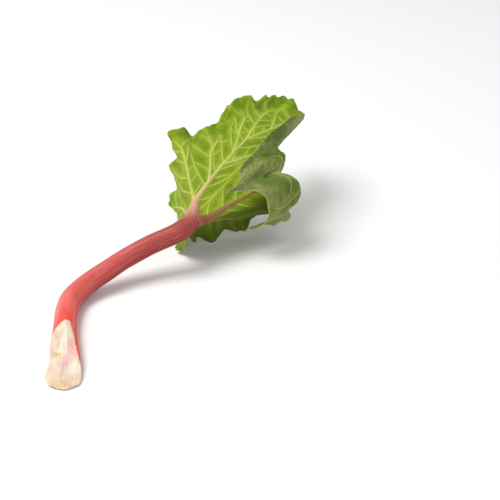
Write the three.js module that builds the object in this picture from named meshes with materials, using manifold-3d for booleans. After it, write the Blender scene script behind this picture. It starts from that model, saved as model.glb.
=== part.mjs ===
// One cut stick of rhubarb lying down: a long curved petiole with a pale flared heel,
// and the crumpled leaf that stands up from its fork.
// Millimetres, +Z up. The origin is on the flat spot under the heel, which rests on the table.
import * as THREE from "three";
import { mergeVertices } from "three/addons/utils/BufferGeometryUtils.js";
import Module from "manifold-3d";

// ---- Petiole ----
// Stations from the heel to the fork: centre x, y, z, half width, half height.
const STATIONS = [
  [-4, -13, 3, 11, 3.5],
  [-4.5, -9, 4.5, 15.5, 5.5],
  [-4.5, 4, 7.5, 17, 9],
  [-5, 25, 10.5, 14.5, 12],
  [-9, 50, 11.5, 13.5, 12.5],
  [-12.5, 80, 11.5, 12, 12],
  [-15, 112, 11.5, 12, 12],
  [-13, 139, 12, 12, 11.5],
  [-5, 156, 14, 12, 11.5],
  [7, 170, 18, 12, 11.5],
  [21, 181, 23, 12, 11.5],
  [37, 193, 29, 12, 11],
  [54, 202, 35, 12, 11],
  [70, 209.5, 40.5, 12, 11],
  [85, 215, 45, 12, 11],
  [99, 220, 49.5, 12.5, 11],
  [110, 226, 53.5, 12, 10.5],
  [118, 235, 57, 8, 7.5],
];
const RINGS_PER_STATION = 2;
const STALK_SIDES = 28;
const SECTION_POWER = 2.5; // 2 is an ellipse, more is squarer
const SECTION_TURN = 40; // degrees from the vertical to the soft corners
const GROOVE = { angle: 22, width: 13, depth: 0.1 }; // side groove, depth as a share of the radius

// ---- Heel: the sloping torn face on top of the flared end ----
const HEEL = { start: -13, end: 84, low: 5, high: 26, bow: 0.55, ridge: -8, fall: 0.16 };
// The front edge is rounded in plan: it sweeps back from its nose, and no more beyond its root.
const SWEEP = { nose: 1, bend: 44, root: 14 };

// ---- Leaf: a plane leaning back from the fork, in polar form about the fork ----
const FORK = new THREE.Vector3(116, 235, 53.5);
const SLOPE = 28; // degrees the blade rises to the back
const MIDRIB = 61; // degrees from +X to the midrib, within the blade
const THICKNESS = 1.0;
const INNER_RADIUS = 7;
const NEAR_BY = 0.4; // mm on the flat leaf to either side when the blade's normal is taken

// Margin: angle from the midrib (left is positive), radius, lift of the wave at the edge.
const MARGIN = [
  [-126, 34, 0], [-118, 54, 2], [-109, 66, -4], [-99, 78, 5], [-89, 89, -3], [-79, 106, 6],
  [-69, 126, -6], [-60, 144, 7], [-51, 160, -6], [-43, 178, 7], [-36, 198, -7], [-29, 214, 8],
  [-23, 222, -8], [-17, 226, 9], [-12, 222, -8], [-8, 246, 3], [-5, 262, 6], [-2, 270, 11],
  [1, 273, 16], [4, 272, 16], [6.5, 258, 13], [9, 233, 7], [11, 228, 9], [14, 217, 8],
  [17, 199, 1], [19, 172, -8], [24, 148, 1],
  [30, 139, -6], [35, 142, 6], [41, 140, 7], [48, 126, -3], [56, 126, 4], [66, 114, -4],
  [76, 108, 6], [87, 92, -4], [98, 83, 4], [109, 75, -3], [120, 66, 2], [130, 52, -1],
  [140, 34, 0],
];
const COLUMNS_PER_STEP = 2;
const RINGS = 20;
const RING_POWER = 0.6; // below 1 the rings crowd towards the margin
const BEND_RINGS = [0.35, 0.7]; // shares of the rings at the start and end of a roll's bend
const BEND_FADE = 30; // mm of roll depth over which the rings gather at its bend
const FLAP = 0.25; // least share of a roll's depth that stays beyond its bend
const FRILL = { depth: 42, power: 1.6, spread: 0.22 }; // how far the edge waves reach inwards

// Creases along rays from the fork: angle, span, degrees the sheet turns away from the viewer.
const CREASES = [
  [38, 10, 74], [-36, 13, 98], [0, 16, -8], [18, 14, 9], [-14, 18, 12], [75, 40, -10], [-80, 40, -12],
];
const CREASE_STEP = 0.5; // degrees between the directions worked out along the fan

// Parts of the margin that roll forward: depth at angles from the midrib, radius, largest turn.
const ROLLS = [
  {
    depths: [
      [-68, 0], [-58, 14], [-50, 44], [-42, 74], [-35, 72], [-28, 100], [-21, 92], [-15, 88], [-10, 52],
      [-5, 0],
    ],
    radius: 9,
    most: 168,
  },
];
const ROLL_FADE = 60; // mm over which a wave dies out round a roll
const DROOP = { start: 95, radius: 210 }; // the far part of the blade arches down

// Ribs on the underside: points along and across the midrib, and the radius at the root, beyond it
// and at the tip.
const RIBS = [
  {
    path: [
      [2, 1], [15, 7], [28, 11], [40, 12], [62, 12], [92, 10], [113, 8], [141, 6], [165, 9], [187, 12],
      [213, 14], [234, 10],
    ],
    radii: [8, 2.2, 0.6],
  },
  { path: [[26, 11], [32, 15], [47, 29], [64, 43], [79, 56], [89, 66], [97, 78]], radii: [2.8, 1.9, 0.7] },
  { path: [[6, -3], [19, -13], [48, -27], [76, -42], [110, -58], [140, -72]], radii: [4.6, 2.7, 0.8] },
  { path: [[62, 12], [83, 22], [100, 31], [113, 33], [130, 35]], radii: [1.8, 1.3, 0.6] },
  { path: [[113, 8], [134, 14], [151, 20], [170, 26], [188, 36]], radii: [1.6, 1.2, 0.6] },
  { path: [[92, 10], [112, -6], [134, -22], [158, -40]], radii: [1.6, 1.2, 0.6] },
  { path: [[141, 6], [170, -6], [202, -15], [227, -15], [240, -21]], radii: [1.5, 1.1, 0.6] },
  { path: [[4, 6], [10, 20], [16, 45], [18, 88]], radii: [2.6, 1.6, 0.7] },
  { path: [[8, -6], [20, -28], [30, -56], [40, -92]], radii: [2.8, 1.7, 0.7] },
];
const RIB_RINGS = 3; // for each step of a rib's path
const RIB_SPREAD = 20; // mm over which a rib's swollen root thins
const HALF_STEP = 0.05; // reach along a path to either side when its direction is taken
// Cross-section of a rib, as shares of its radius; the foot is sunk into the blade.
const RIB_SECTION = [[1.3, 0], [0.85, 0.55], [0.3, 0.95], [-0.3, 0.95], [-0.85, 0.55], [-1.3, 0]];
const RIB_FOOT = -0.3;
const JOINT_GAP = 0.35;

const wasm = await Module();
wasm.setup();

// Smooth curve through one column of a table; the key is column 0 or the row number.
function smooth(keys, values, x) {
  const last = keys.length - 1;
  let i = 0;
  while (i < last - 1 && x > keys[i + 1]) i += 1;
  const slope = (k) => {
    const a = Math.max(k - 1, 0);
    const b = Math.min(k + 1, last);
    return (values[b] - values[a]) / (keys[b] - keys[a]);
  };
  const h = keys[i + 1] - keys[i];
  const t = THREE.MathUtils.clamp((x - keys[i]) / h, 0, 1);
  const t2 = t * t;
  const t3 = t2 * t;
  return (2 * t3 - 3 * t2 + 1) * values[i] + (t3 - 2 * t2 + t) * h * slope(i)
    + (3 * t2 - 2 * t3) * values[i + 1] + (t3 - t2) * h * slope(i + 1);
}

function toSolid(geometry) {
  const bare = geometry.clone();
  bare.deleteAttribute("normal");
  bare.deleteAttribute("uv");
  const merged = mergeVertices(bare, 1e-4);
  return new wasm.Manifold(new wasm.Mesh({
    numProp: 3,
    vertProperties: new Float32Array(merged.attributes.position.array),
    triVerts: new Uint32Array(merged.index.array),
  }));
}

function toGeometry(solid) {
  const mesh = solid.getMesh();
  const geometry = new THREE.BufferGeometry();
  geometry.setAttribute("position", new THREE.BufferAttribute(new Float32Array(mesh.vertProperties), 3));
  geometry.setIndex(new THREE.BufferAttribute(new Uint32Array(mesh.triVerts), 1));
  geometry.computeVertexNormals();
  return geometry;
}

// ---- The petiole, a cylinder whose rings are moved to the stations ----
const stationKeys = STATIONS.map((row, i) => i);
const stationColumns = [0, 1, 2, 3, 4].map((c) => STATIONS.map((row) => row[c]));
const stationAt = (c, t) => smooth(stationKeys, stationColumns[c], t);
const stationPoint = (t) => new THREE.Vector3(stationAt(0, t), stationAt(1, t), stationAt(2, t));

function sectionRadius(angle) {
  const turned = angle - THREE.MathUtils.degToRad(SECTION_TURN);
  const c = Math.abs(Math.cos(turned)) ** SECTION_POWER;
  const s = Math.abs(Math.sin(turned)) ** SECTION_POWER;
  const off = (THREE.MathUtils.radToDeg(angle) - GROOVE.angle) / GROOVE.width;
  return (c + s) ** (-1 / SECTION_POWER) * (1 - GROOVE.depth * Math.exp(-off * off));
}

function heelTop(x, y) {
  const t = (y - HEEL.start) / (HEEL.end - HEEL.start);
  const eased = THREE.MathUtils.smoothstep(t, 0, 1);
  const climb = HEEL.bow * eased + (1 - HEEL.bow) * t;
  return HEEL.low + (HEEL.high - HEEL.low) * climb - HEEL.fall * Math.abs(x - HEEL.ridge);
}

function stalkGeometry(grow) {
  const steps = (STATIONS.length - 1) * RINGS_PER_STATION;
  const geometry = new THREE.CylinderGeometry(1, 1, 1, STALK_SIDES, steps);
  const position = geometry.attributes.position;
  const up = new THREE.Vector3(0, 0, 1);
  for (let i = 0; i < position.count; i += 1) {
    const t = (position.getY(i) + 0.5) * (STATIONS.length - 1);
    const radius = Math.hypot(position.getX(i), position.getZ(i));
    const angle = Math.atan2(position.getZ(i), position.getX(i));
    const tangent = stationPoint(t + HALF_STEP).sub(stationPoint(t - HALF_STEP)).normalize();
    const side = new THREE.Vector3().crossVectors(tangent, up).normalize();
    const top = new THREE.Vector3().crossVectors(side, tangent);
    const reach = radius < 0.5 ? 0 : sectionRadius(angle);
    const point = stationPoint(t);
    point.addScaledVector(side, Math.cos(angle) * reach * (stationAt(3, t) + grow));
    point.addScaledVector(top, Math.sin(angle) * reach * (stationAt(4, t) + grow));
    if (t > STATIONS.length - 1.001) point.addScaledVector(tangent, grow);
    if (point.y < HEEL.end) point.z = Math.min(point.z, heelTop(point.x, point.y));
    const front = 1 - THREE.MathUtils.smoothstep(point.y, HEEL.start, SWEEP.root);
    point.y += (front * (point.x - SWEEP.nose) ** 2) / SWEEP.bend;
    point.z = Math.max(point.z, 0);
    position.setXYZ(i, point.x, point.y, point.z);
  }
  return geometry;
}

// ---- The leaf surface ----
const rad = THREE.MathUtils.degToRad;
const marginKeys = MARGIN.map((row) => row[0]);
const marginRadii = MARGIN.map((row) => row[1]);
const marginLifts = MARGIN.map((row) => row[2]);
const marginRadius = (angle) => smooth(marginKeys, marginRadii, angle);
const across = new THREE.Vector3(1, 0, 0);
const upslope = new THREE.Vector3(0, Math.cos(rad(SLOPE)), Math.sin(rad(SLOPE)));
const outward = new THREE.Vector3(0, -Math.sin(rad(SLOPE)), Math.cos(rad(SLOPE)));
const along = across
  .clone()
  .multiplyScalar(Math.cos(rad(MIDRIB)))
  .addScaledVector(upslope, Math.sin(rad(MIDRIB)));
const aside = across
  .clone()
  .multiplyScalar(-Math.sin(rad(MIDRIB)))
  .addScaledVector(upslope, Math.cos(rad(MIDRIB)));

function creaseTurn(angle) {
  let turn = 0;
  for (const [centre, span, degrees] of CREASES) {
    const q = (angle - centre) / span;
    if (Math.abs(q) < 0.5) turn += (degrees / span) * (1 + Math.cos(2 * Math.PI * q));
  }
  return turn;
}

// Directions of the rays of the folded fan, and the blade's normal on each.
function fan(sign) {
  let ray = new THREE.Vector3(1, 0, 0);
  let tangent = new THREE.Vector3(0, 1, 0);
  let normal = new THREE.Vector3(0, 0, 1);
  const list = [[ray, normal]];
  const step = rad(CREASE_STEP) * sign;
  for (let angle = 0; Math.abs(angle) < 180; angle += CREASE_STEP * sign) {
    const turn = rad(creaseTurn(angle + (CREASE_STEP * sign) / 2) * CREASE_STEP) * sign;
    const nextRay = ray.clone().multiplyScalar(Math.cos(step)).addScaledVector(tangent, Math.sin(step));
    const swung = tangent.clone().multiplyScalar(Math.cos(step)).addScaledVector(ray, -Math.sin(step));
    tangent = swung.clone().multiplyScalar(Math.cos(turn)).addScaledVector(normal, -Math.sin(turn));
    normal = normal.clone().multiplyScalar(Math.cos(turn)).addScaledVector(swung, Math.sin(turn));
    ray = nextRay;
    list.push([ray, normal]);
  }
  return list;
}
const leftFan = fan(1);
const rightFan = fan(-1);

function fanAt(angle) {
  const list = angle < 0 ? rightFan : leftFan;
  const place = Math.abs(angle) / CREASE_STEP;
  const i = Math.floor(place);
  return [0, 1].map((k) => list[i][k].clone().lerp(list[i + 1][k], place - i));
}

// How far in from the margin a roll starts at an angle, 0 outside the roll.
function rollDepth(depths, angle) {
  if (angle <= depths[0][0] || angle >= depths[depths.length - 1][0]) return 0;
  return smooth(depths.map((row) => row[0]), depths.map((row) => row[1]), angle);
}

// Flat distances from the fork of the points of one column of the blade.
function columnDistances(angle) {
  const edge = marginRadius(angle);
  const { depths, radius, most } = ROLLS[ROLLS.length - 1];
  const depth = rollDepth(depths, angle);
  const gathered = THREE.MathUtils.smoothstep(depth, 0, BEND_FADE);
  const bendStart = edge - depth;
  const bendEnd = Math.min(bendStart + radius * rad(most), edge - depth * FLAP);
  const shares = [0, BEND_RINGS[0], BEND_RINGS[1], 1];
  const marks = [INNER_RADIUS, bendStart, bendEnd, edge];
  const distances = [];
  for (let j = 0; j <= RINGS; j += 1) {
    const share = j / RINGS;
    const plain = INNER_RADIUS + (edge - INNER_RADIUS) * share ** RING_POWER;
    const k = share < shares[1] ? 0 : share < shares[2] ? 1 : 2;
    const inStretch = (share - shares[k]) / (shares[k + 1] - shares[k]);
    const bent = marks[k] + (marks[k + 1] - marks[k]) * inStretch;
    distances.push(plain + (bent - plain) * gathered);
  }
  return distances;
}

// Point of the blade's middle surface at an angle from the midrib and a flat distance from the fork.
function bladePoint(angle, distance) {
  const edge = marginRadius(angle);
  const wave = smooth(marginKeys, marginLifts, angle);
  const near = Math.max((distance - edge) / FRILL.depth + 1, 0) ** FRILL.power;
  let lift = wave * (near + FRILL.spread * Math.min(distance / edge, 1) ** 2);
  let reach = distance;
  for (const { depths, radius, most } of ROLLS) {
    const depth = rollDepth(depths, angle);
    const past = distance - edge + depth;
    if (depth > 0 && past > 0) {
      const turn = Math.min(past / radius, rad(most));
      const rest = past - radius * turn;
      const left = lift * Math.exp(-past / ROLL_FADE);
      reach = distance - past + radius * Math.sin(turn) + rest * Math.cos(turn) - left * Math.sin(turn);
      lift = radius * (1 - Math.cos(turn)) + rest * Math.sin(turn) + left * Math.cos(turn);
    }
  }
  const [ray, normal] = fanAt(angle);
  const flat = ray.multiplyScalar(reach).addScaledVector(normal, lift);
  if (flat.x > DROOP.start) {
    const turn = (flat.x - DROOP.start) / DROOP.radius;
    const height = flat.z;
    flat.x = DROOP.start + (DROOP.radius + height) * Math.sin(turn);
    flat.z = (DROOP.radius + height) * Math.cos(turn) - DROOP.radius;
  }
  return FORK.clone()
    .addScaledVector(along, flat.x)
    .addScaledVector(aside, flat.y)
    .addScaledVector(outward, flat.z);
}

const toPolar = (x, y) => [THREE.MathUtils.radToDeg(Math.atan2(y, x)), Math.hypot(x, y)];

// Normal of the blade, from two short steps on the flat leaf; it points to the underside.
function bladeNormal(angle, distance) {
  const x = distance * Math.cos(rad(angle));
  const y = distance * Math.sin(rad(angle));
  const [east, west, north, south] = [[NEAR_BY, 0], [-NEAR_BY, 0], [0, NEAR_BY], [0, -NEAR_BY]].map(
    ([dx, dy]) => bladePoint(...toPolar(x + dx, y + dy)),
  );
  return new THREE.Vector3().crossVectors(east.sub(west), north.sub(south)).normalize();
}

// ---- The blade, two faces with the same triangles and a rim round them ----
function bladeGeometry() {
  const angles = [];
  for (let i = 0; i < MARGIN.length - 1; i += 1) {
    for (let k = 0; k < COLUMNS_PER_STEP; k += 1) {
      angles.push(MARGIN[i][0] + ((MARGIN[i + 1][0] - MARGIN[i][0]) * k) / COLUMNS_PER_STEP);
    }
  }
  angles.push(MARGIN[MARGIN.length - 1][0]);
  const points = [];
  for (const side of [1, -1]) {
    for (const angle of angles) {
      for (const distance of columnDistances(angle)) {
        const point = bladePoint(angle, distance);
        point.addScaledVector(bladeNormal(angle, distance), (side * THICKNESS) / 2);
        points.push(point.x, point.y, point.z);
      }
    }
  }
  const rows = RINGS + 1;
  const half = angles.length * rows;
  const index = [];
  const quad = (a, b, c, d) => index.push(a, b, c, a, c, d);
  const back = (a, b, c, d) => index.push(a, c, b, a, d, c);
  for (let i = 0; i < angles.length - 1; i += 1) {
    for (let j = 0; j < RINGS; j += 1) {
      const a = i * rows + j;
      quad(a, a + 1, a + rows + 1, a + rows);
      back(a + half, a + half + 1, a + half + rows + 1, a + half + rows);
    }
    const outer = i * rows + RINGS;
    quad(outer, outer + half, outer + half + rows, outer + rows);
    const inner = i * rows;
    back(inner, inner + half, inner + half + rows, inner + rows);
  }
  const lastColumn = (angles.length - 1) * rows;
  for (let j = 0; j < RINGS; j += 1) {
    back(j, j + 1, j + 1 + half, j + half);
    quad(lastColumn + j, lastColumn + j + 1, lastColumn + j + 1 + half, lastColumn + j + half);
  }
  const geometry = new THREE.BufferGeometry();
  geometry.setAttribute("position", new THREE.BufferAttribute(new Float32Array(points), 3));
  geometry.setIndex(index);
  return geometry;
}

// ---- One rib, laid along its path on the blade ----
function ribGeometry(rib) {
  const keys = rib.path.map((point, i) => i);
  const xs = rib.path.map((point) => point[0]);
  const ys = rib.path.map((point) => point[1]);
  const last = rib.path.length - 1;
  const steps = last * RIB_RINGS;
  const points = [];
  for (let i = 0; i <= steps; i += 1) {
    const t = i / RIB_RINGS;
    const x = smooth(keys, xs, t);
    const y = smooth(keys, ys, t);
    const dx = smooth(keys, xs, Math.min(t + HALF_STEP, last)) - smooth(keys, xs, Math.max(t - HALF_STEP, 0));
    const dy = smooth(keys, ys, Math.min(t + HALF_STEP, last)) - smooth(keys, ys, Math.max(t - HALF_STEP, 0));
    const length = Math.hypot(dx, dy);
    const [root, middle, tip] = rib.radii;
    const swelling = Math.exp(-Math.hypot(x - xs[0], y - ys[0]) / RIB_SPREAD);
    const radius = tip + (middle - tip) * (1 - t / last) + (root - middle) * swelling;
    for (const [wide, high] of RIB_SECTION) {
      const polar = toPolar(x - (dy / length) * wide * radius, y + (dx / length) * wide * radius);
      const height = high > 0 ? high * radius : RIB_FOOT;
      const point = bladePoint(...polar).addScaledVector(bladeNormal(...polar), height);
      points.push(point.x, point.y, point.z);
    }
  }
  const sides = RIB_SECTION.length;
  const index = [];
  for (let i = 0; i < steps; i += 1) {
    for (let k = 0; k < sides; k += 1) {
      const a = i * sides + k;
      const b = i * sides + ((k + 1) % sides);
      index.push(a, b, a + sides, b, b + sides, a + sides);
    }
  }
  for (let k = 1; k < sides - 1; k += 1) {
    index.push(0, k + 1, k);
    index.push(steps * sides, steps * sides + k, steps * sides + k + 1);
  }
  const geometry = new THREE.BufferGeometry();
  geometry.setAttribute("position", new THREE.BufferAttribute(new Float32Array(points), 3));
  geometry.setIndex(index);
  return geometry;
}

function largestBody(solid) {
  return solid.decompose().reduce((best, body) => (body.volume() > best.volume() ? body : best));
}

function leafGeometry() {
  let leaf = toSolid(bladeGeometry());
  for (const rib of RIBS) leaf = leaf.add(toSolid(ribGeometry(rib)));
  leaf = leaf.subtract(toSolid(stalkGeometry(JOINT_GAP)));
  return toGeometry(largestBody(leaf));
}

const stalk = new THREE.Mesh(
  stalkGeometry(0),
  new THREE.MeshStandardMaterial({ color: 0xc9434a, roughness: 0.45, metalness: 0 }),
);
stalk.name = "stalk";

const leaf = new THREE.Mesh(
  leafGeometry(),
  new THREE.MeshStandardMaterial({ color: 0x9fb43a, roughness: 0.6, metalness: 0 }),
);
leaf.name = "leaf";

const rhubarb = new THREE.Group();
rhubarb.add(stalk, leaf);

export default rhubarb;
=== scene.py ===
import math

import bpy
import numpy as np
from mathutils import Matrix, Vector, kdtree


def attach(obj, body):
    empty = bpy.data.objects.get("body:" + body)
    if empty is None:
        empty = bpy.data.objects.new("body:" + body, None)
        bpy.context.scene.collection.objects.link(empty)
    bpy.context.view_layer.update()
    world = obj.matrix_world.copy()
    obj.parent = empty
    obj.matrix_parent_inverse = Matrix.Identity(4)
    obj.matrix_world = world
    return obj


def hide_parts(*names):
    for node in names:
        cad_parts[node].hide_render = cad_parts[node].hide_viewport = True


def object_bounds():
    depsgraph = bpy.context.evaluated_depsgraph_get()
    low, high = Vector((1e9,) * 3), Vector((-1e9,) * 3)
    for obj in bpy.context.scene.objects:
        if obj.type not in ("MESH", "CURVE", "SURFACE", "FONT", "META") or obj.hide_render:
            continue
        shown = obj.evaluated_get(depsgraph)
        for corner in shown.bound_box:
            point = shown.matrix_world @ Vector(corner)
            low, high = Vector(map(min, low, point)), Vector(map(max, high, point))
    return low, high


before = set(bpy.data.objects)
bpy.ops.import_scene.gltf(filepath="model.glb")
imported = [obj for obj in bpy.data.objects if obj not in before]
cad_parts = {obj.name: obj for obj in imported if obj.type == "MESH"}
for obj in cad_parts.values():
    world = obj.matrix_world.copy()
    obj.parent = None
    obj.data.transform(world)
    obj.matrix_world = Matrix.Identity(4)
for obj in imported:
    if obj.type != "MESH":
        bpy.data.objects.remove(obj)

cad_low, cad_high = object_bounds()


# ---- Stalk ----
# The real piece is one fleshy leaf stalk, pulled from its crown. It swells to a pale torn heel at one
# end, and a thin glossy red skin with fine lengthwise ribs covers the rest. It grows on into the leaf.
# A sphere is drawn out into a tube along its middle line, and the rings take its section.

def hermite(keys, values, at):
    """Smooth curve through the values at the keys."""
    keys = np.asarray(keys, float)
    values = np.asarray(values, float)
    slopes = np.empty_like(values)
    slopes[1:-1] = (values[2:] - values[:-2]) / (keys[2:] - keys[:-2])
    slopes[0] = (values[1] - values[0]) / (keys[1] - keys[0])
    slopes[-1] = (values[-1] - values[-2]) / (keys[-1] - keys[-2])
    i = np.clip(np.searchsorted(keys, at, side="right") - 1, 0, len(keys) - 2)
    h = keys[i + 1] - keys[i]
    t = np.clip((at - keys[i]) / h, 0, 1)
    return (
        (2 * t**3 - 3 * t**2 + 1) * values[i]
        + (t**3 - 2 * t**2 + t) * h * slopes[i]
        + (3 * t**2 - 2 * t**3) * values[i + 1]
        + (t**3 - t**2) * h * slopes[i + 1]
    )


def ramp(low, high, x):
    """Smooth change from 0 at low to 1 at high."""
    t = np.clip((x - low) / (high - low), 0, 1)
    return t * t * (3 - 2 * t)


def bell(x):
    """Bell curve of height 1 about 0."""
    return np.exp(-(x**2))


def bump(x, y, centre, reach):
    """Round hill of height 1 about a centre, in the plan of the heel."""
    return np.exp(-(((x - centre[0]) / reach[0]) ** 2) - ((y - centre[1]) / reach[1]) ** 2)


def rough(x, y, scale, seed):
    """Smooth unevenness, about -1 to 1: waves of drawn heights that cross in six directions."""
    draw = np.random.default_rng(seed)
    waves, knots, spread = 6, 600, 2.4
    total = 0
    for heading in draw.uniform(0, math.pi, waves):
        heights = draw.uniform(-1, 1, knots)
        at = (x * math.cos(heading) + y * math.sin(heading)) / scale + knots / 2
        total = total + hermite(np.arange(knots), heights, at)
    return total / spread


def through(rows, at):
    """Smooth curve through rows of numbers, at places counted in rows."""
    keys = np.arange(len(rows))
    return np.stack([hermite(keys, column, at) for column in rows.T], -1)


def run_along(line):
    """Distance along a line at each of its points."""
    return np.concatenate([[0], np.cumsum(np.linalg.norm(np.diff(line, axis=0), axis=1))])


def unit(v):
    """Each vector drawn to a length of 1."""
    return v / np.linalg.norm(v, axis=-1, keepdims=True)


def store(mesh, marks):
    """Keeps named numbers or vectors for each point of a mesh, for its material."""
    for name, values in marks.items():
        kind, field = ("FLOAT", "value") if values.ndim == 1 else ("FLOAT_VECTOR", "vector")
        made = mesh.attributes.new(name, kind, "POINT")
        made.data.foreach_set(field, np.ascontiguousarray(values, np.float32).ravel())


def points_of(mesh):
    """The mesh's points as rows."""
    co = np.empty(len(mesh.vertices) * 3, np.float32)
    mesh.vertices.foreach_get("co", co)
    return co.reshape(-1, 3).astype(float)


# A metre in millimetres, and the other way round.
metre, millimetre = 1000, 0.001


def place_points(mesh, points):
    """Moves the mesh's points, given in millimetres."""
    mesh.vertices.foreach_set("co", (points * millimetre).astype(np.float32).ravel())


def inside_box(points, give=5.0):
    """Eases points, in millimetres, back into the room that the part has; none goes below the table."""
    margin_kept = 0.05
    low, high = np.array(cad_low) * metre + margin_kept, np.array(cad_high) * metre - margin_kept
    past = np.clip(points - (high - give), 0, None)
    points = np.minimum(points, high - give) + give * (1 - np.exp(-past / give))
    past = np.clip(low[:2] + give - points[:, :2], 0, None)
    points[:, :2] = np.maximum(points[:, :2], low[:2] + give) - give * (1 - np.exp(-past / give))
    return np.maximum(points, low)


# Centre x, y, z, half width and half height at each station, from the heel to where the stalk's flesh
# runs out under the midrib, in millimetres.
stalk_stations = np.array([
    [-4, -13, 3, 11, 3.5], [-4.5, -9, 4.5, 15.5, 5.5], [-4.5, 4, 7.5, 17, 9],
    [-5, 25, 10.5, 14.5, 12], [-9, 50, 11.5, 13.5, 12.5], [-12.5, 80, 11.5, 12, 12],
    [-15, 112, 11.5, 12, 12], [-13, 139, 12, 12, 11.5], [-5, 156, 14, 12, 11.5],
    [7, 170, 18, 12, 11.5], [21, 181, 23, 12, 11.5], [37, 193, 29, 12, 11], [54, 202, 35, 12, 11],
    [70, 209.5, 40.5, 12, 11], [85, 215, 45, 12, 11], [99, 220, 49.5, 12.5, 11],
    [109, 227, 54, 11.8, 10.3], [115.5, 237, 58.5, 9, 7.6], [118, 248, 63, 6.3, 5],
    [120.2, 259, 67.8, 4.2, 3], [122, 269, 72, 2.4, 1.8],
], float)
last_station = len(stalk_stations) - 1


def stalk_at(t):
    """Centre and half sizes of the stalk at a place counted in stations."""
    return through(stalk_stations, t)


stalk_sides, stalk_rings = 168, 420
heel_cap, fork_cap = 0.03, 0.03  # shares of the rings on the two end faces
bpy.ops.mesh.primitive_uv_sphere_add(segments=stalk_sides, ring_count=stalk_rings, radius=1)
stalk = bpy.context.object
stalk.name = "rhubarb_stalk"
ball = points_of(stalk.data)
around = np.arctan2(ball[:, 1], ball[:, 0])
down = np.arccos(np.clip(ball[:, 2], -1, 1)) / math.pi

# Each ring goes to its place along the middle line, and the rings on the end faces shrink.
fine = np.linspace(0, last_station, 2000)
line = stalk_at(fine)[:, :3]
length = run_along(line)
body = np.clip((down - heel_cap) / (1 - heel_cap - fork_cap), 0, 1)
run = body * length[-1]
t = np.interp(run, length, fine)
rim = np.minimum(np.clip(down / heel_cap, 0, 1), np.clip((1 - down) / fork_cap, 0, 1))

near_by = 0.01
row = stalk_at(t)
tangent = unit(stalk_at(t + near_by)[:, :3] - stalk_at(t - near_by)[:, :3])
side = unit(np.cross(tangent, [0, 0, 1]))
top = np.cross(side, tangent)

# Rounded square section with a shallow groove along one side.
section_power, section_turn = 2.5, math.radians(40)
groove_angle, groove_width, groove_depth = 22, 13, 0.1
turned = around - section_turn
reach = (np.abs(np.cos(turned)) ** section_power + np.abs(np.sin(turned)) ** section_power) ** (
    -1 / section_power
)
reach *= 1 - groove_depth * bell((np.degrees(around) - groove_angle) / groove_width)
across = side * (np.cos(around) * reach * row[:, 3])[:, None]
across += top * (np.sin(around) * reach * row[:, 4])[:, None]

# Fine lengthwise ribs that wander a little, and long slow swellings. They die out at both ends.
comb_count, comb_height, comb_power, comb_middle = 27, 0.17, 0.6, 0.6
swelling_height, swelling_length = 0.3, 23
unevenness = 0.12
furrow_angle, furrow_width, furrow_depth = -8, 7, 0.5
wander = 0.06 * np.sin(3 * around + 1.3) + 0.04 * np.sin(5 * around) + 0.05 * np.sin(run / 47)
comb = np.abs(np.sin(comb_count / 2 * (around + wander))) ** comb_power - comb_middle
on_skin = ramp(60, 100, row[:, 1]) * ramp(0.95, 0.84, run / length[-1])
ribs = comb * comb_height * on_skin
ribs += swelling_height * np.sin(run / swelling_length + 2 * np.sin(around)) * on_skin
ribs += unevenness * rough(around * 9, run * 0.12, 3.0, 2) * on_skin
ribs -= furrow_depth * bell((np.degrees(around) - furrow_angle) / furrow_width) * on_skin
across *= (1 + ribs / np.linalg.norm(across + 1e-9, axis=1))[:, None]

dome = 1.5  # the fork end is rounded
place = row[:, :3] + across * rim[:, None]
place += tangent * (dome * np.sqrt(np.clip(1 - rim**2, 0, 1)) * (down > 0.5))[:, None]

# The torn face on top of the heel, sloping down to a thin edge.
heel_start, heel_end, heel_low, heel_high = -13, 84, 5, 26
heel_crest, heel_fall = -8, 0.16
heel_curve, heel_straight = 0.55, 0.45  # shares of an S-shaped and of an even slope
x, y = place[:, 0], place[:, 1]
slope = (y - heel_start) / (heel_end - heel_start)
slope = heel_curve * ramp(0, 1, slope) + heel_straight * slope
face = heel_low + (heel_high - heel_low) * slope
face -= heel_fall * np.abs(x - heel_crest)

# A ridge runs down it and drifts to the right.
ridge_height, ridge_width, ridge_sharpness, ridge_drift = 1.6, 3.4, 1.3, 3.5
ridge_x = heel_crest + ridge_drift * ramp(58, 40, y)
ridge = np.exp(-np.abs((x - ridge_x) / ridge_width) ** ridge_sharpness)
face += ridge_height * ridge * ramp(28, 44, y) * ramp(82, 62, y)

# Hollows and swellings of the face: height, centre, and reach across and along.
heel_hills = [
    (-1.6, (-14.5, 46), (3.0, 10)),  # valley on the left of the ridge
    (-2.4, (-4, 18), (9, 9)),  # broad hollow near the front
    (0.9, (-1, 32), (9, 2.8)),  # fold behind the hollow
    (-1.2, (-12.5, 31), (5, 2.4)),  # dent on the left
    (1.0, (8, 28), (3.5, 15)),  # raised right side
    (0.9, (-18, 4), (5, 6)),  # left corner
]
for height, centre, hill_reach in heel_hills:
    face += height * bump(x, y, centre, hill_reach)
fibres = 0.34 * rough(x, y * 0.22, 2.0, 3) + 0.15 * rough(x, y * 0.1, 0.7, 4)
face += (fibres + 0.35 * rough(x, y, 7, 5)) * ramp(78, 50, y)
nose_at, nose_length, nose_thinning = -7, 7, 0.9
front = np.clip((nose_at - y) / nose_length, 0, 1)
face *= np.sqrt(1 - nose_thinning * front**2)
on_face = (y < heel_end) & (place[:, 2] > face)
place[:, 2] = np.where(on_face, face, place[:, 2])

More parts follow.
